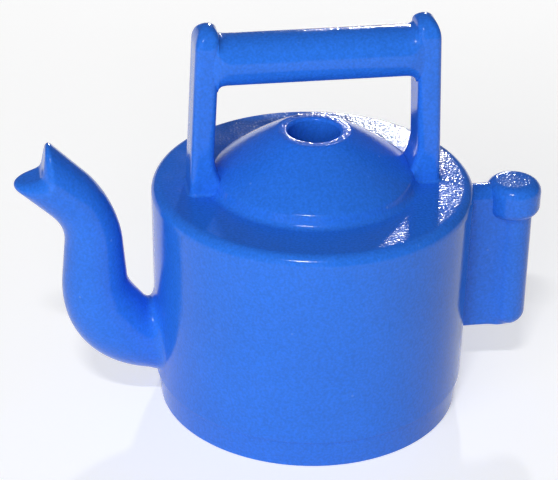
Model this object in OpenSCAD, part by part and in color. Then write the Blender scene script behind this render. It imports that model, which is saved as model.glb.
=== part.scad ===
// Toy kettle: a small moulded play kettle with a gooseneck spout, a fixed
// handle over the lid and a stub grip on the side.
// The origin is the middle of the foot, on the table. +Z is up, the spout
// points to -X and the side grip to +X.

/* [Body] */
// Diameter of the body just under the shoulder
body_d = 26; // [23:0.5:32]
// How much narrower the body is at its lower edge, on the diameter
body_draft = 0.4; // [0:0.1:1]
// Height of the flat shoulder over the table
shoulder_z = 19.4; // [18:0.2:22]
// Rounding of the shoulder's outer edge
shoulder_round = 0.9; // [0.3:0.1:1.3]
// Wall of the hollow body and of its shoulder
body_wall = 1.4; // [1:0.1:1.8]

/* [Base] */
// How far the foot stays inside the body's lower edge
base_step = 0.42; // [0:0.02:0.8]
// Height of the foot that shows under the body
base_h = 2.4; // [1.6:0.1:2.8]
// Thickness of the foot's floor
base_floor = 1.4; // [0.8:0.1:1.6]
// Height of the ring that plugs into the body
base_ring_h = 2.2; // [1:0.1:3]
// Wall of the ring that plugs into the body
base_ring_wall = 1.2; // [0.8:0.1:2]
// Rounding of the foot's lower edge
base_round = 0.15; // [0.1:0.05:0.6]

/* [Lid] */
// Width of the shoulder between the body's side and the lid's rim
shoulder_w = 4.8; // [3.8:0.1:6]
// Height of the lid's upright rim over the shoulder
lid_rim_h = 0.95; // [0.7:0.05:1.4]
// Rounding of the rim's upper edge
lid_rim_round = 0.45; // [0.2:0.05:0.6]
// Height of the crown over the shoulder
lid_h = 4.4; // [3.2:0.1:5]
// Width of the crown's flat ring around its hole
crown_w = 0.65; // [0.4:0.05:1.2]
// How far the dome swells over a straight cone
lid_swell = 0.17; // [0:0.01:0.4]
// Wall of the dome
lid_wall = 1.3; // [0.9:0.1:1.6]
// Diameter of the hole in the crown
lid_hole_d = 4.1; // [3:0.1:4.8]
// Depth of the hole's wall
lid_hole_depth = 2; // [1.5:0.1:2.6]
// How far the ring that plugs into the shoulder stays inside the rim
lid_ring_step = 1.6; // [1:0.1:2.4]
// Height of the ring that plugs into the shoulder
lid_ring_h = 1.8; // [1:0.1:2.4]

/* [Handle] */
// Lean of each post towards the lid, in degrees
post_lean = 2.3; // [0:0.1:3]
// Thickness of a post, along the bar
post_t = 1.85; // [1.6:0.05:2.4]
// Width of a post, across the bar
post_w = 3.5; // [3:0.1:4]
// Rounding of a post's upright edges
post_round = 0.5; // [0.2:0.05:0.7]
// Height of the posts' tops over the shoulder
post_h = 14.1; // [12.6:0.1:18]
// Rounding of a post's top, seen along the width
post_top_round = 0.75; // [0.3:0.05:0.8]
// Thickness of the tenon under a post
tenon_t = 1; // [0.7:0.05:1.2]
// Width of the tenon under a post
tenon_w = 2.4; // [1.6:0.1:2.6]
// Diameter of the grip bar
bar_d = 4.1; // [3.4:0.05:4.2]
// Distance from the posts' tops down to the bar's axis
bar_drop = 3.1; // [2.2:0.1:4]
// Diameter of the pin at each end of the bar
bar_pin_d = 2.2; // [1.6:0.1:2.6]
// Length of the pin at each end of the bar
bar_pin_l = 1; // [0.6:0.05:1.1]

/* [Spout] */
// Height of the spout's axis over the body's lower edge, where it leaves the body
root_up = 3.3; // [2.8:0.1:6]
// Upward slope of the spout's root, in degrees
root_rise = 18; // [0:1:24]
// Straight run of the root outside the body
root_run = 0.7; // [0.3:0.1:2]
// Radius of the lower bend, on the axis
low_bend = 6.1; // [5:0.1:7]
// Length of the upright run between the two bends
riser_l = 3.1; // [1.6:0.1:5]
// Radius of the upper bend, on the axis
top_bend = 6.5; // [5:0.1:8]
// Turn of the upper bend away from the body, in degrees
top_turn = 46; // [35:1:55]
// Length of the straight mouth, to the upper tip
mouth_l = 4.2; // [3.4:0.1:5.4]
// Diameter of the spout where it meets the body
root_d = 5.4; // [5:0.1:6]
// Diameter of the spout at its belly, halfway round the lower bend
belly_d = 6.1; // [5.4:0.1:6.6]
// Diameter of the spout at the foot of its upright run
riser_d = 5.3; // [4.6:0.1:5.8]
// Diameter of the spout at its neck, halfway round the upper bend
neck_d = 4.4; // [4:0.1:5]
// Diameter of the mouth
mouth_d = 4.6; // [4.2:0.1:5]
// Depth of the notch across the mouth, from the upper tip
notch_depth = 1.65; // [0.8:0.05:2]
// How far the notch's bottom lies below the mouth's axis
notch_low = 0.1; // [0:0.05:0.5]
// Rounding of the notch's bottom, as its distance from the sharp corner
notch_soft = 0.25; // [0.1:0.05:0.5]
// Diameter of the hollow in the mouth
mouth_hollow_d = 3.2; // [2:0.1:3.4]
// Depth of the hollow behind the notch's corner
mouth_hollow = 0.9; // [0.4:0.1:1.6]
// Diameter of the spigot that plugs into the body
spigot_d = 4; // [3:0.1:4.4]

/* [Side grip] */
// Distance from the body's side to the rod's axis
rod_out = 3.75; // [3.2:0.05:6]
// Diameter of the rod
rod_d = 3.25; // [2.8:0.05:3.6]
// Rounding of the rod's lower edge
rod_round = 1.1; // [0.3:0.1:1.3]
// Height of the rod's lower end over the body's lower edge
grip_up = 2.55; // [1.6:0.05:4]
// How far the web's lower edge stays above the rod's
web_step = 0.3; // [0:0.05:1]
// Thickness of the web
web_t = 2.4; // [1.8:0.1:2.6]
// How far the web's upper edge stays below the shoulder
web_drop = 1.7; // [1:0.1:3]
// Height of the tongue that plugs into the body
tongue_h = 7; // [4:0.1:9]
// Thickness of the tongue that plugs into the body
tongue_t = 1.4; // [1:0.1:1.6]
// Diameter of the cap on the rod
cap_d = 4.55; // [4:0.05:5]
// Height of the cap
cap_h = 2.85; // [2:0.05:3.6]
// How far the cap stands over the web's upper edge
cap_rise = 0.5; // [0:0.05:1]
// Rounding of the cap's edges
cap_round = 0.75; // [0.3:0.05:0.9]
// Diameter of the peg under the cap
peg_d = 1.8; // [1.2:0.1:2]
// Length of the peg under the cap
peg_l = 1.5; // [0.8:0.1:2.5]

/* [Fit] */
// Clearance on each side of a plug, peg, pin or tenon
fit_gap = 0.05; // [0.03:0.01:0.12]
// Clearance between faces that only meet
seam_gap = 0.03; // [0.02:0.01:0.08]
// Clearance between a post and the lid's rim
post_gap = 0.04; // [0.02:0.01:0.1]

/* [Hidden] */
$fn = 64;

// One overrun serves every cut
over = 1;
plastic = [0.16, 0.42, 0.90];

body_r = body_d / 2;
body_low_r = body_r - body_draft / 2;
body_in_r = body_low_r - body_wall;
shoulder_low_z = shoulder_z - body_wall;
lid_r = body_r - shoulder_w;
lid_ring_r = lid_r - lid_ring_step;
lid_top_z = shoulder_z + lid_h;
// Each post stands just outside the lid's rim, which its lean brings it closer to
post_x = lid_r + post_gap + lid_rim_h * tan(post_lean) + post_t / (2 * cos(post_lean));
post_top_z = shoulder_z + post_h;
bar_z = post_top_z - bar_drop;
rod_x = body_r + rod_out;
grip_low_z = base_h + grip_up;
web_low_z = grip_low_z + web_step;
web_top_z = shoulder_z - web_drop;
cap_top_z = web_top_z + cap_rise;
cap_low_z = cap_top_z - cap_h;

// The spout's axis: a straight root, a bend up, a riser, a bend out and a straight mouth
function body_r_at(z) = body_low_r + (body_r - body_low_r) * (z - base_h) / (shoulder_z - base_h);
root_z = base_h + root_up;
root_x = -body_r_at(root_z);
bend_start = [root_x - root_run * cos(root_rise), root_z + root_run * sin(root_rise)];
low_centre = bend_start + low_bend * [sin(root_rise), cos(root_rise)];
riser_x = low_centre[0] - low_bend;
top_centre = [riser_x - top_bend, low_centre[1] + riser_l];
low_bend_l = low_bend * (90 - root_rise) * PI / 180;
top_bend_l = top_bend * top_turn * PI / 180;
// Distances along the axis where each stretch starts
low_bend_s = root_run;
riser_s = low_bend_s + low_bend_l;
top_bend_s = riser_s + riser_l;
mouth_s = top_bend_s + top_bend_l;
spout_sides = 28;
root_rings = 4;
spout_rings = 34;
mouth_rings = 6;
hollow_floor_share = 0.67;

// Points along an arc from angle a to angle b about a centre
function arc(centre, r, a, b, steps = 6) =
    [for (i = [0:steps]) centre + r * [cos(a + (b - a) * i / steps), sin(a + (b - a) * i / steps)]];

// Outside of the body as a solid, grown by a clearance
module body_form(gap) {
    translate([0, 0, -over])
        cylinder(h = over + base_h, r = body_low_r + gap);
    translate([0, 0, base_h])
        cylinder(h = shoulder_z - base_h, r1 = body_low_r + gap, r2 = body_r + gap);
}

module body_shell() color(plastic) difference() {
    rotate_extrude() difference() {
        union() {
            polygon([
                [0, base_h], [body_low_r, base_h], [body_r, shoulder_z - shoulder_round],
                [body_r - shoulder_round, shoulder_z], [0, shoulder_z]
            ]);
            translate([body_r - shoulder_round, shoulder_z - shoulder_round])
                circle(r = shoulder_round);
        }
        translate([0, base_h - over])
            square([body_in_r, shoulder_low_z - base_h + over]);
        square([lid_ring_r + fit_gap, shoulder_z + over]);
    }
    for (side = [0, 1]) mirror([side, 0, 0])
        translate([post_x, 0, shoulder_z])
            cube([tenon_t + 2 * fit_gap, tenon_w + 2 * fit_gap, 2 * (body_wall + over)], center = true);
    spout_spigot(fit_gap, over);
    grip_tongue(fit_gap, over);
}

module base_cap() color(plastic) rotate_extrude() {
    ring_r = body_in_r - fit_gap;
    ring_in_r = ring_r - base_ring_wall;
    base_r = body_low_r - base_step;
    polygon(concat(
        [[0, 0]],
        arc([base_r - base_round, base_round], base_round, -90, 0),
        [
            [base_r, base_h], [ring_r, base_h], [ring_r, base_h + base_ring_h],
            [ring_in_r, base_h + base_ring_h], [ring_in_r, base_floor], [0, base_floor]
        ]
    ));
}

module lid_dome() color(plastic) {
    hole_r = lid_hole_d / 2;
    rim_top = [lid_r - lid_rim_round, shoulder_z + lid_rim_h];
    crown = [hole_r + crown_w, lid_top_z];
    run = crown - rim_top;
    outward = [run[1], -run[0]] / norm(run);
    slope = atan2(outward[1], outward[0]);
    swell_steps = 8;
    dome = [for (i = [1:swell_steps]) let (t = i / swell_steps)
        rim_top + lid_rim_round * [cos(slope), sin(slope) - 1] * (1 - t)
        + run * t + outward * 4 * lid_swell * t * (1 - t)];
    rotate_extrude() difference() {
        union() {
            polygon(concat(
                [[0, shoulder_z], [lid_r, shoulder_z]],
                arc(rim_top - [0, lid_rim_round], lid_rim_round, 0, slope),
                dome,
                [[0, lid_top_z]]
            ));
            translate([0, shoulder_z - lid_ring_h])
                square([lid_ring_r, lid_ring_h]);
        }
        polygon([
            [0, shoulder_z - lid_ring_h - over],
            [lid_ring_r - lid_wall, shoulder_z - lid_ring_h - over],
            [lid_ring_r - lid_wall, shoulder_z],
            [hole_r + lid_wall, lid_top_z - lid_hole_depth],
            [0, lid_top_z - lid_hole_depth]
        ]);
        translate([0, shoulder_z])
            square([hole_r, lid_top_z]);
    }
}

// The spigot stops just short of the body's inner face, clear of the base's ring
module spout_spigot(gap, extra) {
    translate([-(body_in_r + fit_gap - extra), 0, root_z])
        rotate([0, -90, 0])
            cylinder(h = body_r - body_in_r + extra + root_run, d = spigot_d + 2 * gap);
}

// Place and heading of the spout's axis at distance s: [x, z, degrees from +X]
function spout_axis(s) =
    s < low_bend_s ? [
        root_x - s * cos(root_rise), root_z + s * sin(root_rise), 180 - root_rise]
    : s < riser_s ? let (a = 270 - root_rise - (s - low_bend_s) / low_bend * 180 / PI) [
        low_centre[0] + low_bend * cos(a), low_centre[1] + low_bend * sin(a), a - 90]
    : s < top_bend_s ? [
        riser_x, low_centre[1] + s - riser_s, 90]
    : let (a = min(top_turn, (s - top_bend_s) / top_bend * 180 / PI), on = max(0, s - mouth_s)) [
        top_centre[0] + top_bend * cos(a) - on * sin(a),
        top_centre[1] + top_bend * sin(a) + on * cos(a),
        90 + a];

// The spout's radius runs smoothly through its named diameters
spout_stops = [0, (low_bend_s + riser_s) / 2, riser_s, (top_bend_s + mouth_s) / 2, mouth_s + mouth_l];
spout_radii = [root_d, belly_d, riser_d, neck_d, mouth_d] / 2;
spout_last = len(spout_stops) - 1;
function stop_slope(i) = let (a = max(i - 1, 0), b = min(i + 1, spout_last))
    (spout_radii[b] - spout_radii[a]) / (spout_stops[b] - spout_stops[a]);
function spout_radius(s, i = 0) =
    i < spout_last - 1 && s > spout_stops[i + 1] ? spout_radius(s, i + 1)
    : let (w = spout_stops[i + 1] - spout_stops[i], t = (s - spout_stops[i]) / w)
        spout_radii[i] * (1 - t) * (1 - t) * (1 + 2 * t) + spout_radii[i + 1] * t * t * (3 - 2 * t)
        + w * t * (1 - t) * (stop_slope(i) * (1 - t) - stop_slope(i + 1) * t);

// A point of the spout: s along the axis, then up across it in its plane and sideways
function spout_point(s, up, side) = let (f = spout_axis(s))
    [f[0] - up * cos(f[2] + 90), side, f[1] - up * sin(f[2] + 90)];
function ring_angle(i) = 360 * i / spout_sides;
function spout_ring(s, part = 1) = [for (i = [0:spout_sides - 1])
    let (r = spout_radius(s) * part) spout_point(s, r * cos(ring_angle(i)), r * sin(ring_angle(i)))];

// How far a point slides out along the root until it lies on the body
function to_body(p) = let (r = body_r_at(p[2]) + seam_gap)
    (p[0] + sqrt(r * r - p[1] * p[1])) / cos(root_rise);
function slid(p, l) = p + l * [-cos(root_rise), 0, sin(root_rise)];
// The root's end lies on the body, and the rings after it stay outside the body
function coped(ring) = [for (p = ring) slid(p, to_body(p))];
function kept_out(ring) = [for (p = ring) slid(p, max(0, to_body(p)))];

// How far the notched mouth reaches at a height across it: a V with a soft corner
notch_slope = sqrt((notch_depth + notch_soft) ^ 2 - notch_soft ^ 2) / (mouth_d / 2 + notch_low);
function notch_reach(up) =
    mouth_l - notch_depth - notch_soft + sqrt((notch_slope * (up + notch_low)) ^ 2 + notch_soft ^ 2);
function mouth_ring(r, part) = [for (i = [0:spout_sides - 1])
    let (up = r * cos(ring_angle(i)), reach = notch_reach(up) * part)
    spout_point(mouth_s + reach, up, r * sin(ring_angle(i)))];
function hollow_ring(r) = let (floor_s = mouth_s + mouth_l - notch_depth - mouth_hollow)
    [for (i = [0:spout_sides - 1]) spout_point(floor_s, r * cos(ring_angle(i)), r * sin(ring_angle(i)))];

// A closed solid through rings of points, with flat fans over its two ends
module loft(rings) {
    sides = len(rings[0]);
    last = len(rings) - 1;
    points = [for (ring = rings) each ring];
    middles = [for (ring = [rings[0], rings[last]]) [for (p = ring) 1] * ring / sides];
    fan = len(points);
    polyhedron(
        points = concat(points, middles),
        faces = concat(
            [for (j = [0:last - 1], i = [0:sides - 1])
                let (a = j * sides + i, b = j * sides + (i + 1) % sides)
                each [[b, a, a + sides], [b + sides, b, a + sides]]],
            [for (i = [0:sides - 1]) [fan, i, (i + 1) % sides]],
            [for (i = [0:sides - 1]) [fan + 1, last * sides + (i + 1) % sides, last * sides + i]]
        ),
        convexity = 6
    );
}

module spout() color(plastic) {
    loft(concat(
        [for (j = [1:root_rings]) coped(spout_ring(0, j / root_rings))],
        [for (j = [1:spout_rings]) kept_out(spout_ring(root_run + (mouth_s - root_run) * j / spout_rings))],
        [for (j = [1:mouth_rings])
            mouth_ring(spout_radius(mouth_s + mouth_l * j / mouth_rings), j / mouth_rings)],
        [mouth_ring(mouth_hollow_d / 2, 1), hollow_ring(mouth_hollow_d / 2 * hollow_floor_share)]
    ));
    spout_spigot(0, 0);
}

// A post's own frame: the middle of its foot, leaning in towards the lid
module at_post() {
    translate([post_x, 0, shoulder_z])
        rotate([0, -post_lean, 0])
            children();
}

module post_section() {
    square([post_t - 2 * post_round, post_w], center = true);
    square([post_t, post_w - 2 * post_round], center = true);
    for (x = [-1, 1], y = [-1, 1])
        translate([x * (post_t / 2 - post_round), y * (post_w / 2 - post_round)])
            circle(r = post_round);
}

// A post seen along its width, with a rounded top; its foot runs on below the shoulder
module post_side() {
    side_h = post_h / cos(post_lean);
    translate([-post_t / 2, -over])
        square([post_t, side_h + over - post_top_round]);
    translate([post_top_round - post_t / 2, 0])
        square([post_t - 2 * post_top_round, side_h]);
    for (x = [-1, 1])
        translate([x * (post_t / 2 - post_top_round), side_h - post_top_round])
            circle(r = post_top_round);
}

// The post that stands on the side grip's side
module handle_post() {
    difference() {
        union() {
            intersection() {
                at_post()
                    translate([0, 0, -over])
                        linear_extrude(post_h + 2 * over)
                            post_section();
                at_post()
                    translate([0, post_w, 0])
                        rotate([90, 0, 0])
                            linear_extrude(2 * post_w)
                                post_side();
                rotate([90, 0, 90])
                    linear_extrude(body_r) {
                        translate([-post_w / 2, shoulder_z])
                            square([post_w, post_h - post_w / 2]);
                        translate([0, post_top_z - post_w / 2])
                            circle(d = post_w);
                    }
            }
            translate([post_x - tenon_t / 2, -tenon_w / 2, shoulder_low_z])
                cube([tenon_t, tenon_w, body_wall + post_round]);
        }
        bar_pin(fit_gap);
    }
}

module handle_post_spout_side() color(plastic) mirror([1, 0, 0]) handle_post();

module handle_post_grip_side() color(plastic) handle_post();

// The pin at one end of the bar, in the post's socket
module bar_pin(gap) {
    inner_x = post_x - (bar_z - shoulder_z) * tan(post_lean) - post_t / (2 * cos(post_lean));
    translate([inner_x - bar_pin_l, 0, bar_z])
        rotate([0, 90, 0])
            cylinder(h = 2 * bar_pin_l + gap, d = bar_pin_d + 2 * gap);
}

module grip_bar() color(plastic) {
    difference() {
        translate([-post_x, 0, bar_z])
            rotate([0, 90, 0])
                cylinder(h = 2 * post_x, d = bar_d);
        for (side = [0, 1]) mirror([side, 0, 0])
            at_post()
                translate([-post_t / 2 - seam_gap, -bar_d, 0])
                    cube([2 * post_t, 2 * bar_d, post_h + over]);
    }
    for (side = [0, 1]) mirror([side, 0, 0]) bar_pin(0);
}

module grip_tongue(gap, extra) {
    tongue_z = (web_low_z + web_top_z) / 2;
    translate([body_in_r - extra, -tongue_t / 2 - gap, tongue_z - tongue_h / 2 - gap])
        cube([rod_x - rod_d / 2 - body_in_r + extra, tongue_t + 2 * gap, tongue_h + 2 * gap]);
}

module side_grip() color(plastic) {
    difference() {
        union() {
            translate([0, -web_t / 2, web_low_z])
                cube([rod_x, web_t, web_top_z - web_low_z]);
            translate([rod_x, 0, 0]) rotate_extrude() {
                translate([0, grip_low_z])
                    square([rod_d / 2 - rod_round, cap_low_z - grip_low_z]);
                translate([0, grip_low_z + rod_round])
                    square([rod_d / 2, cap_low_z - grip_low_z - rod_round]);
                translate([rod_d / 2 - rod_round, grip_low_z + rod_round])
                    intersection() {
                        circle(r = rod_round);
                        translate([0, -rod_round]) square(rod_round);
                    }
            }
        }
        body_form(seam_gap);
        translate([rod_x, 0, cap_low_z])
            cylinder(h = cap_h + over, d = cap_d + 2 * seam_gap);
        cap_peg(fit_gap, over);
    }
    grip_tongue(0, 0);
}

module cap_peg(gap, extra) {
    translate([rod_x, 0, cap_low_z - peg_l - gap])
        cylinder(h = peg_l + gap + extra, d = peg_d + 2 * gap);
}

module side_grip_cap() color(plastic) {
    translate([rod_x, 0, 0]) rotate_extrude() {
        translate([0, cap_low_z])
            square([cap_d / 2 - cap_round, cap_top_z - cap_low_z]);
        translate([0, cap_low_z + cap_round])
            square([cap_d / 2, cap_top_z - cap_low_z - 2 * cap_round]);
        for (z = [cap_low_z + cap_round, cap_top_z - cap_round])
            translate([cap_d / 2 - cap_round, z])
                circle(r = cap_round);
    }
    cap_peg(0, cap_round);
}

body_shell();
base_cap();
lid_dome();
spout();
handle_post_spout_side();
handle_post_grip_side();
grip_bar();
side_grip();
side_grip_cap();
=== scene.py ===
# %% [markdown]
# # A blue play kettle
#
# The real object is a thumb-sized kettle, moulded in one glossy blue plastic: a drum
# with a foot, a low domed lid with a hole, a gooseneck spout, a bar handle on two
# posts and a stub grip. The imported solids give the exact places. This lesson lays
# a softer, moulded skin over each of them, one numpy surface for each solid.

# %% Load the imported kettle
import bpy
import numpy as np
from mathutils import Matrix


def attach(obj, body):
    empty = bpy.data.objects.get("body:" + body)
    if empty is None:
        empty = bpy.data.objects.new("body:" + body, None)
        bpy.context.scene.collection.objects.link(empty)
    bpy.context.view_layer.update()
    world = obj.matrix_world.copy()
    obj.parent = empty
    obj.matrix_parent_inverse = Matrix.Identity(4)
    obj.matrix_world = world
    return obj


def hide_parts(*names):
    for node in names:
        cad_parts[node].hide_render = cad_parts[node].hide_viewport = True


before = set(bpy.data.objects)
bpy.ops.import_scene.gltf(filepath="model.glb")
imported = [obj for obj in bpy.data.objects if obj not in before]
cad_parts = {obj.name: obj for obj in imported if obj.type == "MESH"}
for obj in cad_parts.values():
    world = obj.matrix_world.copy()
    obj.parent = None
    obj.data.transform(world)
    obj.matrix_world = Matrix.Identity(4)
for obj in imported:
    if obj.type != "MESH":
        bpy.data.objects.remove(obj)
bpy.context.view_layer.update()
MM = 0.001
print("solids:", ", ".join(sorted(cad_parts)))

# %% [markdown]
# ## One finish for the whole kettle
#
# The plastic is a strong blue with a shiny skin. A flat colour would look like paint,
# so the finish is layered: a slow change of tone, a fine mottle, a few specks of dust
# and an uneven gloss. Two bumps follow: a slow ripple, and a fine grain that breaks
# reflections into sparkles. The grain is strong on faces that look up and weak on walls
# and roundings, which stay smooth enough for sharp highlights. All patterns read Object
# coordinates in metres, so they have real sizes, and the piece's own normal says which
# way a face looks.

# %% The moulded plastic
PLASTIC_BLUE, DUST_BLUE = (0.025, 0.182, 0.820), (0.20, 0.40, 0.90)
MIRRORING, DUST_STRENGTH = 0.32, 0.35
SLOW_WAVES, MOTTLE_WAVES, GLOSS_WAVES = 110.0, 4800.0, 420.0
DUST_CELLS, DUST_PATCHES = 620.0, 260.0
RIPPLE_WAVES, RIPPLE_DEEP = 520.0, 0.000010
GRAIN_WAVES, GRAIN_DEEP, GRAIN_ON_WALLS = 4900.0, 0.000026, 0.25
ROUGH_LOW, ROUGH_HIGH = 0.10, 0.20


def add_node(tree, kind, settings=(), **inputs):
    """Add a node of a kind, set its properties, then its input sockets by name."""
    made = tree.nodes.new(kind)
    for name, value in dict(settings).items():
        setattr(made, name, value)
    for name, value in inputs.items():
        made.inputs[name.replace("_", " ")].default_value = value
    return made


def pattern(tree, place, scale, detail=2.0):
    """A noise pattern with `scale` waves in a metre."""
    noise = add_node(tree, "ShaderNodeTexNoise", Scale=scale, Detail=detail)
    tree.links.new(place, noise.inputs["Vector"])
    return noise.outputs["Fac"]


def spread(tree, value, low, high, to_low, to_high):
    """Carry a value from one range to another, held at both ends."""
    made = add_node(tree, "ShaderNodeMapRange")
    numbers = {"From Min": low, "From Max": high, "To Min": to_low, "To Max": to_high}
    for socket, number in numbers.items():
        made.inputs[socket].default_value = number
    tree.links.new(value, made.inputs["Value"])
    return made.outputs["Result"]


def times(tree, a, b):
    """Two masks multiplied."""
    made = add_node(tree, "ShaderNodeMath", {"operation": "MULTIPLY"})
    tree.links.new(a, made.inputs[0])
    tree.links.new(b, made.inputs[1])
    return made.outputs["Value"]


def moulded_plastic(name, blue):
    """Glossy moulded plastic: tone, mottle, dust, then roughness, ripple and grain."""
    finish = bpy.data.materials.new(name)
    finish.use_nodes = True
    tree = finish.node_tree
    shader = tree.nodes["Principled BSDF"]
    shader.inputs["IOR"].default_value = 1.5
    shader.inputs["Specular IOR Level"].default_value = MIRRORING
    coordinates = add_node(tree, "ShaderNodeTexCoord")
    place = coordinates.outputs["Object"]

    slow = spread(tree, pattern(tree, place, SLOW_WAVES), 0.35, 0.65, 0.97, 1.03)
    mottle = spread(tree, pattern(tree, place, MOTTLE_WAVES, 1.0), 0.30, 0.70, 0.89, 1.10)
    tone = times(tree, slow, mottle)
    toned = add_node(tree, "ShaderNodeMix", {"data_type": "RGBA", "blend_type": "MULTIPLY"})
    toned.inputs["Factor"].default_value = 1.0
    toned.inputs["A"].default_value = (*blue, 1.0)
    tree.links.new(tone, toned.inputs["B"])

    cells = add_node(tree, "ShaderNodeTexVoronoi", Scale=DUST_CELLS)
    tree.links.new(place, cells.inputs["Vector"])
    dots = spread(tree, cells.outputs["Distance"], 0.045, 0.075, 1.0, 0.0)
    sparse = spread(tree, pattern(tree, place, DUST_PATCHES), 0.56, 0.60, 0.0, 1.0)
    dust = times(tree, dots, sparse)
    dusted = add_node(tree, "ShaderNodeMix", {"data_type": "RGBA"})
    dusted.inputs["B"].default_value = (*DUST_BLUE, 1.0)
    tree.links.new(spread(tree, dust, 0.0, 1.0, 0.0, DUST_STRENGTH), dusted.inputs["Factor"])
    tree.links.new(toned.outputs["Result"], dusted.inputs["A"])
    tree.links.new(dusted.outputs["Result"], shader.inputs["Base Color"])

    gloss = pattern(tree, place, GLOSS_WAVES)
    rough = spread(tree, gloss, 0.35, 0.70, ROUGH_LOW, ROUGH_HIGH)
    tree.links.new(rough, shader.inputs["Roughness"])

    ripple = add_node(tree, "ShaderNodeBump", Strength=1.0, Distance=RIPPLE_DEEP)
    tree.links.new(pattern(tree, place, RIPPLE_WAVES, 1.0), ripple.inputs["Height"])
    facing = add_node(tree, "ShaderNodeSeparateXYZ")
    tree.links.new(coordinates.outputs["Normal"], facing.inputs["Vector"])
    looks_up = spread(tree, facing.outputs["Z"], 0.72, 0.95, GRAIN_ON_WALLS, 1.0)
    grain = add_node(tree, "ShaderNodeBump", Distance=GRAIN_DEEP)
    tree.links.new(looks_up, grain.inputs["Strength"])
    tree.links.new(pattern(tree, place, GRAIN_WAVES, 1.0), grain.inputs["Height"])
    tree.links.new(ripple.outputs["Normal"], grain.inputs["Normal"])
    tree.links.new(grain.outputs["Normal"], shader.inputs["Normal"])
    return finish


BLUE_PLASTIC = moulded_plastic("blue_moulded_plastic", PLASTIC_BLUE)
print("finish:", BLUE_PLASTIC.name, len(BLUE_PLASTIC.node_tree.nodes), "nodes")

# %% [markdown]
# ## From a grid of points to a closed skin
#
# Every piece here is a grid: rows run along the shape, columns run round it. A grid
# is easy to compute as one array, and its faces follow a fixed pattern. The last
# column joins the first, and the ends are closed with a fan or joined to each other,
# so no skin has a hole or a seam.

# %% Grid helper


def skin(name, node, grid, ring=False):
    """Make a closed piece from a grid (rows, columns, 3) in millimetres.

    A face joins (row, column), (row, column + 1), (row + 1, column + 1) and
    (row + 1, column). With ring the last row joins the first; otherwise each end row
    gets a fan to its middle. The signed volume is a sixth of the sum of a . (b x c)
    over the triangles; where it is negative the faces are turned to point outwards.
    """
    rows, columns = grid.shape[:2]
    points = grid.reshape(-1, 3) * MM
    index = np.arange(rows * columns).reshape(rows, columns)
    if ring:
        index = np.vstack([index, index[:1]])
    beside = np.roll(index, -1, axis=1)
    quads = np.stack([index[:-1], beside[:-1], beside[1:], index[1:]], axis=-1).reshape(-1, 4)
    fans = np.empty((0, 3), int)
    if not ring:
        points = np.vstack([points, grid[[0, -1]].mean(axis=1) * MM])
        first = np.full(columns, rows * columns)
        fans = np.vstack([
            np.stack([beside[0], index[0], first], axis=-1),
            np.stack([index[-1], beside[-1], first + 1], axis=-1)])
    triangles = np.vstack([quads[:, [0, 1, 2]], quads[:, [0, 2, 3]], fans])
    a, b, c = (points[triangles[:, k]] for k in range(3))
    volume = np.sum(a * np.cross(b, c)) / 6
    if volume < 0:
        quads, fans = quads[:, ::-1], fans[:, ::-1]
    mesh = bpy.data.meshes.new(name)
    mesh.from_pydata(points.tolist(), [], quads.tolist() + fans.tolist())
    mesh.shade_smooth()
    mesh.materials.append(BLUE_PLASTIC)
    piece = bpy.data.objects.new(name, mesh)
    bpy.context.scene.collection.objects.link(piece)
    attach(piece, "root")
    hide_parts(node)
    print(f"{name}: {len(mesh.vertices)} points, {abs(volume) * 1e9:.0f} mm3")


# %% [markdown]
# ## Round pieces
#
# The drum, foot, lid and button were all turned in the mould maker's lathe, so each
# is one outline carried round an axis. The outline's corners have small radii, as
# moulded plastic has no knife edges. A point just past each arc keeps the flats flat
# under smooth shading.

# %% Outlines and turning


def rounded(corners, closed=False, fine=np.radians(6), past=0.05):
    """Outline through corners (x, y, radius), each an arc that touches both its sides.

    The arc's centre lies on the corner's bisector at radius / sin(half angle), and the
    arc starts radius / tan(half angle) from the corner. It is drawn by blending its
    two end directions as sin((1 - t) turn) and sin(t turn) over sin(turn).
    """
    corners = np.asarray(corners, float)
    count = len(corners)
    outline = []
    for k, (x, y, radius) in enumerate(corners):
        corner = np.array([x, y])
        if not closed and k in (0, count - 1):
            outline.append(corner[None])
            continue
        back, on = corners[k - 1, :2] - corner, corners[(k + 1) % count, :2] - corner
        back, on = back / np.linalg.norm(back), on / np.linalg.norm(on)
        half = np.arccos(np.clip(back @ on, -1, 1)) / 2
        turn = np.pi - 2 * half
        reach = radius / np.tan(half)
        centre = corner + (back + on) / np.linalg.norm(back + on) * radius / np.sin(half)
        t = np.linspace(0, 1, max(3, int(np.ceil(turn / fine)) + 1))[:, None]
        start, end = corner + back * reach - centre, corner + on * reach - centre
        arc = centre + (np.sin((1 - t) * turn) * start + np.sin(t * turn) * end) / np.sin(turn)
        outline += [corner[None] + back * (reach + past), arc, corner[None] + on * (reach + past)]
    return np.vstack(outline)


def sweep_arc(centre, radius, start, end, fine=np.radians(6)):
    """Points of an arc about a centre, from one angle to another in radians."""
    steps = max(2, int(np.ceil(abs(end - start) / fine)))
    turn = np.linspace(start, end, steps + 1)
    return np.array(centre) + radius * np.stack([np.cos(turn), np.sin(turn)], axis=-1)


def turned(outline, axis_x=0.0, columns=192):
    """Carry an outline of (radius, height) round an upright axis at x = axis_x."""
    turn = np.linspace(0, 2 * np.pi, columns, endpoint=False)
    radius, height = outline[:, :1], outline[:, 1:]
    return np.stack(np.broadcast_arrays(
        axis_x + radius * np.cos(turn), radius * np.sin(turn), height), axis=-1)


# %% [markdown]
# ### Drum and foot
#
# The drum widens a little from its lower edge to its shoulder, as a moulding needs in
# order to leave its mould, and its shoulder edge is well rounded. It is a real shell:
# the lid's hole shows its inside. The foot is a slightly smaller disc that tapers
# downwards, with a ring on top that stands inside the drum.

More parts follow.
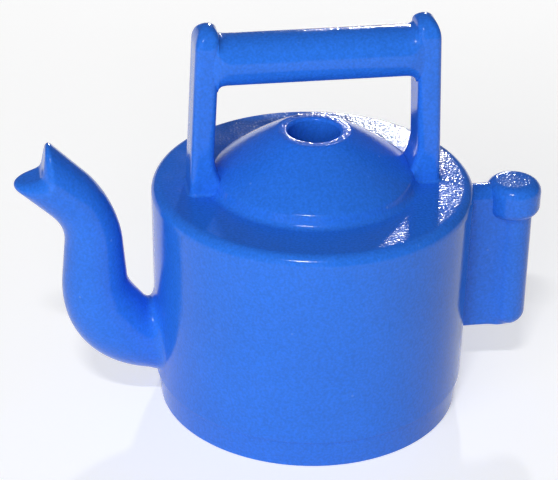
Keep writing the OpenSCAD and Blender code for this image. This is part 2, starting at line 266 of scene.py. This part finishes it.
# %% Drum and foot
FOOT_Z, SHOULDER_Z = 2.4, 19.4
DRUM_LOW_R, DRUM_R, DRUM_IN_R = 12.76, 13.0, 11.4
DRUM_EDGE, SHOULDER_ROUND, OPENING_R, CEILING_Z = 0.18, 0.9, 6.65, 18.0
FOOT_LOW_R, FOOT_R, FOOT_FLOOR_Z, AXIS_R = 12.38, 12.6, 1.4, 0.4
RING_R, RING_IN_R, RING_TOP_Z = 11.35, 10.15, 4.6
drum = rounded([
    (DRUM_LOW_R, FOOT_Z, DRUM_EDGE), (DRUM_R, SHOULDER_Z, SHOULDER_ROUND),
    (OPENING_R, SHOULDER_Z, 0.15), (OPENING_R, CEILING_Z, 0.15),
    (DRUM_IN_R, CEILING_Z, 0.5), (DRUM_IN_R, FOOT_Z, 0.15)], closed=True)
skin("drum", "body_shell", turned(drum), ring=True)
foot = rounded([
    (AXIS_R, 0.0, 0.0), (FOOT_LOW_R, 0.0, 0.12), (FOOT_R, FOOT_Z, 0.08),
    (RING_R, FOOT_Z, 0.1), (RING_R, RING_TOP_Z, 0.15), (RING_IN_R, RING_TOP_Z, 0.15),
    (RING_IN_R, FOOT_FLOOR_Z, 0.4), (AXIS_R, FOOT_FLOOR_Z, 0.0)])
skin("foot", "base_cap", turned(foot))

# %% [markdown]
# ### Lid
#
# The lid's outline is a row of arcs and short straights that touch each other: a hollow
# foot fillet, a leaning rim with a round edge, a long shallow dome, a round crown with
# a narrow flat ring, and a lip that rolls into the hole. The dome's centre is found
# where two circles cross, so that it touches the rim's and the crown's arcs exactly.

# %% Lid
EDGE_R, RIM_LEAN, RIM_RISE, RIM_ROUND, FILLET = 8.77, np.radians(18.0), 0.35, 0.6, 0.65
HOLE_R, LIP_ROUND, DOME_R = 2.07, 0.26, 30.0
CROWN_R, CROWN_ROUND, CROWN_Z = 2.82, 0.6, 23.8
HOLE_LOW_Z, UNDER_R, UNDER_Z = 20.6, 4.2, 19.4
PLUG_R, PLUG_IN_R, PLUG_LOW_Z = 6.6, 5.3, 17.6


def dome_centre(a, reach_a, b, reach_b):
    """The lower of the two points at reach_a from a and reach_b from b."""
    a, b = np.array(a), np.array(b)
    apart = np.linalg.norm(b - a)
    along = (reach_a**2 - reach_b**2 + apart**2) / (2 * apart)
    across = np.sqrt(reach_a**2 - along**2)
    way = (b - a) / apart
    return a + along * way + across * np.array([way[1], -way[0]]) * np.sign(way[0])


out = np.array([np.cos(RIM_LEAN), np.sin(RIM_LEAN)])
foot_fillet = np.array([EDGE_R, SHOULDER_Z + FILLET])
rim = foot_fillet - (FILLET + RIM_ROUND) * out + RIM_RISE * np.array([-out[1], out[0]])
crown = (CROWN_R, CROWN_Z - CROWN_ROUND)
lip = (HOLE_R + LIP_ROUND, CROWN_Z - LIP_ROUND)
dome = dome_centre(rim, DOME_R - RIM_ROUND, crown, DOME_R - CROWN_ROUND)
dome_low = np.arctan2(*(np.array(rim) - dome)[::-1])
dome_high = np.arctan2(*(np.array(crown) - dome)[::-1])
lid_under = rounded([
    (HOLE_R, CROWN_Z - 1.0, 0.0), (HOLE_R, HOLE_LOW_Z, 0.2), (UNDER_R, HOLE_LOW_Z, 0.3),
    (PLUG_IN_R, UNDER_Z, 0.2), (PLUG_IN_R, PLUG_LOW_Z, 0.15), (PLUG_R, PLUG_LOW_Z, 0.15),
    (PLUG_R, SHOULDER_Z - 0.04, 0.05), (EDGE_R, SHOULDER_Z - 0.1, 0.0)])
lid = np.vstack([
    [[EDGE_R + 0.16, SHOULDER_Z - 0.05], [EDGE_R + 0.06, SHOULDER_Z - 0.006]],
    sweep_arc(foot_fillet, FILLET, 1.5 * np.pi, np.pi + RIM_LEAN),
    sweep_arc(rim, RIM_ROUND, RIM_LEAN, dome_low)[:-1],
    sweep_arc(dome, DOME_R, dome_low, dome_high, np.radians(0.8)),
    sweep_arc(crown, CROWN_ROUND, dome_high, np.pi / 2)[1:],
    sweep_arc(lip, LIP_ROUND, np.pi / 2, np.pi),
    lid_under])
skin("lid", "lid_dome", turned(lid), ring=True)
print("dome normals from", np.degrees(dome_low).round(1), "to", np.degrees(dome_high).round(1))

# %% [markdown]
# ## Spout
#
# The gooseneck is a tube along a path of two bends. The path's heading changes evenly
# with length, so each stretch is a straight or an arc, and a running sum of the
# heading gives the path. The tube is joined to the drum by finding, for every column,
# where it meets the drum's side, and laying a hollow fillet there, larger on top than
# below. The mouth is a soft notch between a horn above and a rounder jaw below.

# %% Spout
SPOUT_ROOT = (-12.84, 5.7)
BENDS = np.array([0.7, 8.366, 11.466, 16.684])
HEADINGS = np.radians([18.0, 90.0, 90.0, 44.0])
GIRTH_AT = np.array([0.0, 4.5, 8.3, 11.4, 14.0, 16.65, 20.8])
GIRTH = np.array([2.69, 3.05, 2.645, 2.37, 2.18, 2.215, 2.29])
MOUTH_AT = BENDS[-1]
ROOT_SEARCH, HALVINGS = (-2.5, 3.0), 40
ROOT_FILLET, ROOT_TILT, ROOT_TOP = 0.85, 0.7, 0.55
walk = np.linspace(-4, 24, 5601)
heading = np.interp(walk, BENDS, HEADINGS)


def running(values, start):
    """Running sum of a speed along the walk, set to `start` at the walk's zero."""
    steps = np.diff(walk) * (values[1:] + values[:-1]) / 2
    total = np.concatenate([[0.0], np.cumsum(steps)])
    return start + total - np.interp(0.0, walk, total)


path_x = running(-np.cos(heading), SPOUT_ROOT[0])
path_z = running(np.sin(heading), SPOUT_ROOT[1])


def spout_girth(s):
    """Smooth radius through the named girths: cubic pieces with averaged slopes."""
    s = np.clip(s, GIRTH_AT[0], GIRTH_AT[-1])
    k = np.clip(np.searchsorted(GIRTH_AT, s) - 1, 0, len(GIRTH) - 2)
    slope = np.gradient(GIRTH, GIRTH_AT)
    wide = GIRTH_AT[k + 1] - GIRTH_AT[k]
    t = (s - GIRTH_AT[k]) / wide
    return (GIRTH[k] * (1 + 2 * t) * (1 - t)**2 + GIRTH[k + 1] * t**2 * (3 - 2 * t)
            + wide * t * (1 - t) * (slope[k] * (1 - t) - slope[k + 1] * t))


def spout_point(s, up, side):
    """The path's point at s, moved `up` across it in its plane and `side` along Y."""
    s, up, side = np.broadcast_arrays(s, up, side)
    aim = np.interp(s, BENDS, HEADINGS)
    return np.stack([
        np.interp(s, walk, path_x) + up * np.sin(aim), side,
        np.interp(s, walk, path_z) + up * np.cos(aim)], axis=-1)


def tube(s, round_angle):
    """The tube's skin at length s and angle round it."""
    girth = spout_girth(s)
    return spout_point(s, girth * np.cos(round_angle), girth * np.sin(round_angle))


def drum_radius(z):
    """The drum's radius at a height: a straight taper."""
    return DRUM_LOW_R + (DRUM_R - DRUM_LOW_R) * (z - FOOT_Z) / (SHOULDER_Z - FOOT_Z)


def on_drum(points, depth):
    """Points moved along their radius until they lie `depth` under the drum's side."""
    flat = np.hypot(points[..., 0], points[..., 1])
    share = (drum_radius(points[..., 2]) - depth) / flat
    return np.stack([points[..., 0] * share, points[..., 1] * share, points[..., 2]], axis=-1)


angle = np.linspace(0, 2 * np.pi, 112, endpoint=False)
near, far = np.full_like(angle, ROOT_SEARCH[0]), np.full_like(angle, ROOT_SEARCH[1])
for _ in range(HALVINGS):
    middle = (near + far) / 2
    here = tube(middle, angle)
    inside = np.hypot(here[:, 0], here[:, 1]) < drum_radius(here[:, 2])
    near, far = np.where(inside, middle, near), np.where(inside, far, middle)
meets = (near + far) / 2
print("spout meets the drum at", meets.min().round(2), "to", meets.max().round(2), "on its path")

rises = np.cos(angle)
root_fillet = ROOT_FILLET + ROOT_TILT * rises + ROOT_TOP * np.clip(rises, 0, 1)**2
corner = tube(meets, angle)
drum_out = corner * [1, 1, 0] / np.hypot(corner[:, 0], corner[:, 1])[:, None]
root_aim = np.interp(meets, BENDS, HEADINGS)
tube_out = np.stack([np.cos(angle) * np.sin(root_aim), np.sin(angle),
                     np.cos(angle) * np.cos(root_aim)], axis=-1)
away = tube_out - np.sum(tube_out * drum_out, axis=1, keepdims=True) * drum_out
away /= np.linalg.norm(away, axis=1, keepdims=True)
foot_line = on_drum(corner + root_fillet[:, None] * away, 0.02)
neck_line = tube(meets + root_fillet, angle)
t = np.linspace(0, 1, 9)[:, None, None]
fillet_rows = (1 - t)**2 * foot_line + 2 * t * (1 - t) * corner + t**2 * neck_line
root_row = on_drum(foot_line, 0.6)[None]

u = np.linspace(0, 1, 76)[1:, None]
tube_rows = tube((meets + root_fillet) * (1 - u) + MOUTH_AT * u, angle)

NOTCH_LOW, NOTCH_SLOPE, NOTCH_SOFT, NOTCH_FLOOR = 0.1, 0.76, 0.35, 2.5
HORN_ROUND, JAW_ROUND, SIDE_ROUND, MOUTH_REACH = 0.55, 0.85, 1.35, 3.5


def notch_reach(up):
    """How far the mouth reaches past the last bend: a V with a soft corner, from `up`."""
    return NOTCH_FLOOR + np.sqrt((NOTCH_SLOPE * (up + NOTCH_LOW))**2 + NOTCH_SOFT**2)


def mouth(radius, back, share=1.0):
    """Ring of the mouth at a radius, `back` behind the notched edge."""
    up = radius * np.cos(angle)
    return spout_point(MOUTH_AT + (notch_reach(up) - back) * share, up, radius * np.sin(angle))


tip_round = np.where(rises > 0, HORN_ROUND, JAW_ROUND)
edge_round = tip_round + (SIDE_ROUND - tip_round) * np.sin(angle)**2
v = np.linspace(0, 1, 16)[1:, None]
mouth_rows = mouth(spout_girth(MOUTH_AT + v * MOUTH_REACH), edge_round, v)
edge_r = spout_girth(MOUTH_AT + MOUTH_REACH)
turn = np.linspace(0, np.pi / 2, 12)[1:, None]
edge_rows = mouth(edge_r - edge_round * (1 - np.cos(turn)), edge_round * (1 - np.sin(turn)))
notch_rows = mouth((edge_r - edge_round) * np.linspace(1, 0.04, 14)[1:, None], 0.0)
skin("gooseneck", "spout", np.vstack([
    root_row, fillet_rows, tube_rows, mouth_rows, edge_rows, notch_rows]))

# %% [markdown]
# ## Handle
#
# Two flat posts lean in over the lid and a round bar runs between them. A post is a
# stack of rounded rectangles. It flares a little at its foot, and its inner side runs
# into the lid with a tall hollow fillet. At the top its width closes in as a circle;
# its outer side closes in as a taller ellipse and its inner side as a smaller circle.
# The bar's section grows taller and squarer where it runs into a post.

# %% Posts
POST_X, POST_LEAN = 9.204, np.radians(2.3)
POST_HALF_T, POST_HALF_W, POST_ROUND, POST_H = 0.925, 1.75, 0.5, 13.95
OUTER_WIDE, OUTER_TALL, INNER_ROUND = 0.95, 1.6, 0.85
POST_FLARE, POST_SUNK, PLAIN_LOW, PLAIN_HIGH = 0.22, 0.3, 4.2, 11.8
LID_FILLET_H, LID_FILLET_W, LID_FILLET_FROM = 3.4, 2.3, 0.3


def rounded_rectangle(half_x, half_y, radius, arc_steps=9):
    """Rings of rounded rectangles, one for each entry of the half sizes (rows, 1).

    A corner's points are its centre plus radius times (cos, sin). One more point on
    each side of an arc, a fifth of the way along the flat, keeps the flat flat.
    """
    one = np.linspace(0, np.pi / 2, arc_steps)
    one = np.concatenate([one[:1], one, one[-1:]])
    turn = np.concatenate([one + q * np.pi / 2 for q in range(4)])
    sign_x = np.repeat([1, -1, -1, 1], len(one))
    sign_y = np.repeat([1, 1, -1, -1], len(one))
    on_flat = np.tile(np.arange(len(one)) % (len(one) - 1) == 0, 4)
    along_x = np.where(on_flat & (np.abs(np.sin(turn)) > 0.5), 0.8, 1.0)
    along_y = np.where(on_flat & (np.abs(np.cos(turn)) > 0.5), 0.8, 1.0)
    return (sign_x * along_x * (half_x - radius) + radius * np.cos(turn),
            sign_y * along_y * (half_y - radius) + radius * np.sin(turn))


def closing(height, top, tall, wide=None):
    """How far a side has closed in at a height: a quarter ellipse, tall by wide.

    It starts `tall` under `top` and ends there; without `wide` it is a quarter circle.
    """
    into = np.clip((height - (top - tall)) / tall, 0, 1)
    return (tall if wide is None else wide) * (1 - np.sqrt(1 - into**2))


def post(side):
    """A post's rings; side is -1 at the spout and 1 at the side grip."""
    foot_h = POST_FLARE * (1 - np.cos(np.linspace(0, np.pi / 2, 7)))
    top_h = POST_H - POST_HALF_W * (1 - np.sin(np.linspace(0, np.radians(89), 26)))
    height = np.concatenate([
        [-POST_SUNK], foot_h, np.linspace(0.4, LID_FILLET_H, 16),
        np.linspace(PLAIN_LOW, PLAIN_HIGH, 9), top_h])[:, None]
    above = np.clip(POST_FLARE - height, 0, POST_FLARE)
    flare = POST_FLARE - np.sqrt(POST_FLARE**2 - above**2)
    outer = POST_HALF_T + flare - closing(height, POST_H, OUTER_TALL, OUTER_WIDE)
    down = LID_FILLET_H - np.clip(height, LID_FILLET_FROM, None)
    to_lid = closing(down, LID_FILLET_H, LID_FILLET_H, LID_FILLET_W)
    inner = POST_HALF_T + flare + to_lid - closing(height, POST_H, INNER_ROUND)
    half_t = (outer + inner) / 2
    half_w = POST_HALF_W + flare - closing(height, POST_H, POST_HALF_W)
    radius = np.minimum(POST_ROUND + flare, np.minimum(half_t, half_w) * 0.98)
    x, y = rounded_rectangle(half_t, half_w, radius)
    out = POST_X - height * np.tan(POST_LEAN) + (x + (outer - inner) / 2) / np.cos(POST_LEAN)
    return np.stack(np.broadcast_arrays(side * out, y, SHOULDER_Z + height), axis=-1)


skin("post_by_spout", "handle_post_spout_side", post(-1))
skin("post_by_grip", "handle_post_grip_side", post(1))

# %% Bar
BAR_Z, BAR_R, BAR_FILLET, BAR_SUNK = 30.34, 2.05, 0.45, 1.2
SQUARE_POWER, SQUARE_FROM, SQUARE_OVER, SLIMMER = 3.2, 0.8, 1.5, 0.33
post_face = POST_X - (BAR_Z - SHOULDER_Z) * np.tan(POST_LEAN) - POST_HALF_T / np.cos(POST_LEAN)
end_x = post_face + BAR_SUNK
near_post = np.concatenate([
    [0.0, 0.3, 0.6, 0.9], np.linspace(1.15, BAR_SUNK + BAR_FILLET, 15),
    [1.8, 2.0, 2.3, 2.7, 3.2]])
along = np.concatenate([end_x - near_post, np.linspace(5.0, -5.0, 11), near_post[::-1] - end_x])
gap = (post_face - np.abs(along))[:, None]
short = np.clip(BAR_FILLET - gap, 0, BAR_FILLET)
tall = BAR_R + BAR_FILLET - np.sqrt(BAR_FILLET**2 - short**2)
ease = np.clip((SQUARE_FROM - gap) / SQUARE_OVER, 0, 1)
ease = ease**2 * (3 - 2 * ease)
deep = BAR_R - SLIMMER * ease
power = 2 / (2 + (SQUARE_POWER - 2) * ease)
turn = np.linspace(0, 2 * np.pi, 112, endpoint=False)
side, up = np.sin(turn), np.cos(turn)
bar = np.stack(np.broadcast_arrays(
    along[:, None], deep * np.sign(side) * np.abs(side)**power,
    BAR_Z + tall * np.sign(up) * np.abs(up)**power), axis=-1)
skin("bar", "grip_bar", bar)

# %% [markdown]
# ## Side grip
#
# Opposite the spout a flat web stands out from the drum and ends in a round rod, with
# a button on top. Seen from above, web and rod make a keyhole. That outline is one
# ring, carried upwards. It shrinks at the bottom to round the rod's end, and the web
# alone closes in at the top.

# %% Side grip
ROD_X, ROD_R, ROD_ROUND, GRIP_LOW = 16.78, 1.635, 1.2, 4.86
WEB_HALF, WEB_TOP, WEB_TOP_ROUND, WEB_LOW_ROUND = 1.12, 17.95, 1.08, 0.35
WEB_IN, VALLEY = 12.5, 0.75
WEB_LIFT, LIFT_FROM, LIFT_OVER, LIFT_H = 0.15, 0.6, 1.2, 3.0


def keyhole(rod, web):
    """Half of the keyhole outline for each row's sizes, from the drum to the rod's tip.

    A straight web side, a short curve with its control point at the valley where the
    web's side would meet the rod, then an arc of the rod.
    """
    meet = np.pi - np.arcsin(np.clip(web / rod, 0, 0.95))
    valley_x = ROD_X + rod * np.cos(meet)
    side_x = WEB_IN + (valley_x - VALLEY - WEB_IN) * np.linspace(0, 1, 9)
    side_y = web + 0 * side_x
    leave = meet - VALLEY / rod
    t = np.linspace(0, 1, 10)[1:-1]
    curve_x = ((1 - t)**2 * (valley_x - VALLEY) + 2 * t * (1 - t) * valley_x
               + t**2 * (ROD_X + rod * np.cos(leave)))
    curve_y = ((1 - t)**2 + 2 * t * (1 - t)) * web + t**2 * rod * np.sin(leave)
    turn = leave * np.linspace(1, 0, 25)
    return (np.hstack([side_x, curve_x, ROD_X + rod * np.cos(turn)]),
            np.hstack([side_y, curve_y, rod * np.sin(turn)]))


grip_h = WEB_TOP - GRIP_LOW
rise = np.concatenate([
    ROD_ROUND * (1 - np.cos(np.linspace(np.radians(3), np.pi / 2, 14))),
    np.linspace(1.4, grip_h - WEB_TOP_ROUND - 0.2, 14),
    grip_h - WEB_TOP_ROUND * (1 - np.sin(np.linspace(0, np.radians(87), 10)))])[:, None]
from_low, from_top = rise, grip_h - rise
rod_half = ROD_R - closing(-from_low, 0.0, ROD_ROUND)
web_half = (WEB_HALF - closing(-from_low, 0.0, WEB_LOW_ROUND)
            - closing(-from_top, 0.0, WEB_TOP_ROUND))
half_x, half_y = keyhole(rod_half, web_half)
ring_x = np.hstack([half_x, half_x[:, -2::-1]])
ring_y = np.hstack([half_y, -half_y[:, -2::-1]])
to_drum = np.clip((ROD_X - LIFT_FROM - ring_x) / LIFT_OVER, 0, 1)
lift = WEB_LIFT * to_drum**2 * (3 - 2 * to_drum) * np.clip(1 - rise / LIFT_H, 0, 1)
skin("stub_grip", "side_grip", np.stack(np.broadcast_arrays(
    ring_x, ring_y, GRIP_LOW + rise + lift), axis=-1))

# %% Button on the grip
BUTTON_X, BUTTON_TOP_Z, BUTTON_LOW_Z = 16.75, 18.2, 15.3
BUTTON_R, BUTTON_LOW_R, BUTTON_ROUND, BUTTON_LOW_ROUND = 2.275, 2.26, 0.95, 0.8
button = rounded([
    (0.2, BUTTON_TOP_Z, 0.0), (BUTTON_R, BUTTON_TOP_Z, BUTTON_ROUND),
    (BUTTON_LOW_R, BUTTON_LOW_Z, BUTTON_LOW_ROUND), (1.45, 15.27, 0.05), (1.40, 15.0, 0.0)])
skin("grip_button", "side_grip_cap", turned(button, BUTTON_X, 96))

# %% [markdown]
# ## Floor and light
#
# The kettle stands on a plain floor that the camera and mirrored rays see as white. A
# broad soft light stands low in front, to the left of the camera; it is kept out of
# reflections, so that it lays no pale bands on the roundings. The air adds a little even
# light. A narrow lamp high in front gives the highlights on the shoulder's edge and the
# lid's rim. A small lamp low behind, on the right, is mirrored in the faces that look
# up, where the plastic's grain makes it sparkle.

# %% Floor
FLOOR_HALF, FLOOR_LINES = 2.0, 9
FLOOR_GREY, FLOOR_GLOW = 0.80, 0.46
floor_mesh = bpy.data.meshes.new("floor")
across = np.linspace(-FLOOR_HALF, FLOOR_HALF, FLOOR_LINES)
floor_x, floor_y = np.meshgrid(across, across, indexing="ij")
floor_index = np.arange(FLOOR_LINES**2).reshape(FLOOR_LINES, FLOOR_LINES)
floor_faces = np.stack([floor_index[:-1, :-1], floor_index[1:, :-1],
                        floor_index[1:, 1:], floor_index[:-1, 1:]], axis=-1).reshape(-1, 4)
floor_points = np.stack([floor_x, floor_y, 0 * floor_x], axis=-1).reshape(-1, 3)
floor_mesh.from_pydata(floor_points.tolist(), [], floor_faces.tolist())
floor = bpy.data.objects.new("floor", floor_mesh)
bpy.context.scene.collection.objects.link(floor)

pale = bpy.data.materials.new("pale_floor")
pale.use_nodes = True
tree = pale.node_tree
tree.nodes.remove(tree.nodes["Principled BSDF"])
matte = add_node(tree, "ShaderNodeBsdfDiffuse", Color=(FLOOR_GREY, FLOOR_GREY, FLOOR_GREY, 1.0))
glow = add_node(tree, "ShaderNodeEmission", Color=(1.0, 1.0, 1.0, 1.0), Strength=FLOOR_GLOW)
white = add_node(tree, "ShaderNodeAddShader")
tree.links.new(glow.outputs["Emission"], white.inputs[0])
tree.links.new(matte.outputs["BSDF"], white.inputs[1])
rays = add_node(tree, "ShaderNodeLightPath")
surface = matte.outputs["BSDF"]
for ray in ("Is Camera Ray", "Is Glossy Ray", "Is Transmission Ray"):
    choose = add_node(tree, "ShaderNodeMixShader")
    tree.links.new(rays.outputs[ray], choose.inputs["Fac"])
    tree.links.new(surface, choose.inputs[1])
    tree.links.new(white.outputs["Shader"], choose.inputs[2])
    surface = choose.outputs["Shader"]
tree.links.new(surface, tree.nodes["Material Output"].inputs["Surface"])
floor_mesh.materials.append(pale)
print("floor:", len(floor_mesh.polygons), "faces")

# %% World and lamps
AIR_LEVEL, AIM_Z = 0.10, 0.013
world = bpy.data.worlds.new("studio_air")
bpy.context.scene.world = world
world.use_nodes = True
air = world.node_tree.nodes["Background"]
air.inputs["Color"].default_value = (1.0, 1.0, 1.0, 1.0)
air.inputs["Strength"].default_value = AIR_LEVEL


def lamp(name, azimuth, elevation, distance, size, watts, mirrored=True):
    """An area lamp that faces the kettle; azimuth runs from the front (-Y) to the right.

    The size is in metres, across and upwards. A lamp that isn't mirrored lights the
    plastic but doesn't show in its gloss.
    """
    data = bpy.data.lights.new(name, "AREA")
    data.shape = "RECTANGLE"
    data.size, data.size_y = size
    data.energy = watts
    made = bpy.data.objects.new(name, data)
    az, el = np.radians(azimuth), np.radians(elevation)
    toward = np.array([np.sin(az) * np.cos(el), -np.cos(az) * np.cos(el), np.sin(el)])
    side = np.array([np.cos(az), np.sin(az), 0.0])
    place = Matrix.Identity(4)
    place.col[0][:3], place.col[1][:3], place.col[2][:3] = side, np.cross(toward, side), toward
    place.col[3][:3] = np.array([0.0, 0.0, AIM_Z]) + distance * toward
    made.matrix_world = place
    made.visible_camera = False
    made.visible_glossy = mirrored
    bpy.context.scene.collection.objects.link(made)
    print(f"{name}: {watts} W at {azimuth}, {elevation}")


lamp("front_softbox", -28.0, 15.0, 0.50, (0.50, 0.36), 1.84, mirrored=False)
lamp("high_spot", -18.0, 52.0, 0.50, (0.08, 0.010), 0.70)
lamp("rear_lamp", 165.5, 17.5, 0.30, (0.012, 0.012), 0.31)

# %% [markdown]
# ## Camera
#
# The photo was matched with a simple perspective camera: 175 mm from the kettle's
# middle, looking down by about 29 degrees and a little from the left. The
# camera's three axes are written as the columns of its matrix.

# %% Camera
AZIMUTH, LOOK_DOWN, ROLL = np.radians(-9.6), np.radians(29.493), np.radians(-1.067)
FOCAL_PX, WIDTH_PX = 2139.407, 558
eye = np.array([-27.938, -149.454, 99.689]) * MM
right = np.array([np.cos(AZIMUTH), np.sin(AZIMUTH), 0.0])
forward = np.array([-np.sin(AZIMUTH) * np.cos(LOOK_DOWN), np.cos(AZIMUTH) * np.cos(LOOK_DOWN),
                    -np.sin(LOOK_DOWN)])
upward = np.cross(right, forward)
camera_data = bpy.data.cameras.new("photo_camera")
camera_data.sensor_width = 36.0
camera_data.lens = FOCAL_PX * camera_data.sensor_width / WIDTH_PX
camera_data.clip_start, camera_data.clip_end = 0.01, 20.0
camera = bpy.data.objects.new("photo_camera", camera_data)
stand = Matrix.Identity(4)
stand.col[0][:3] = np.cos(ROLL) * right - np.sin(ROLL) * upward
stand.col[1][:3] = np.sin(ROLL) * right + np.cos(ROLL) * upward
stand.col[2][:3] = -forward
stand.col[3][:3] = eye
camera.matrix_world = stand
bpy.context.scene.collection.objects.link(camera)
bpy.context.scene.camera = camera
bpy.context.scene.view_settings.view_transform = "Standard"
print("lens:", round(camera_data.lens, 2), "mm")
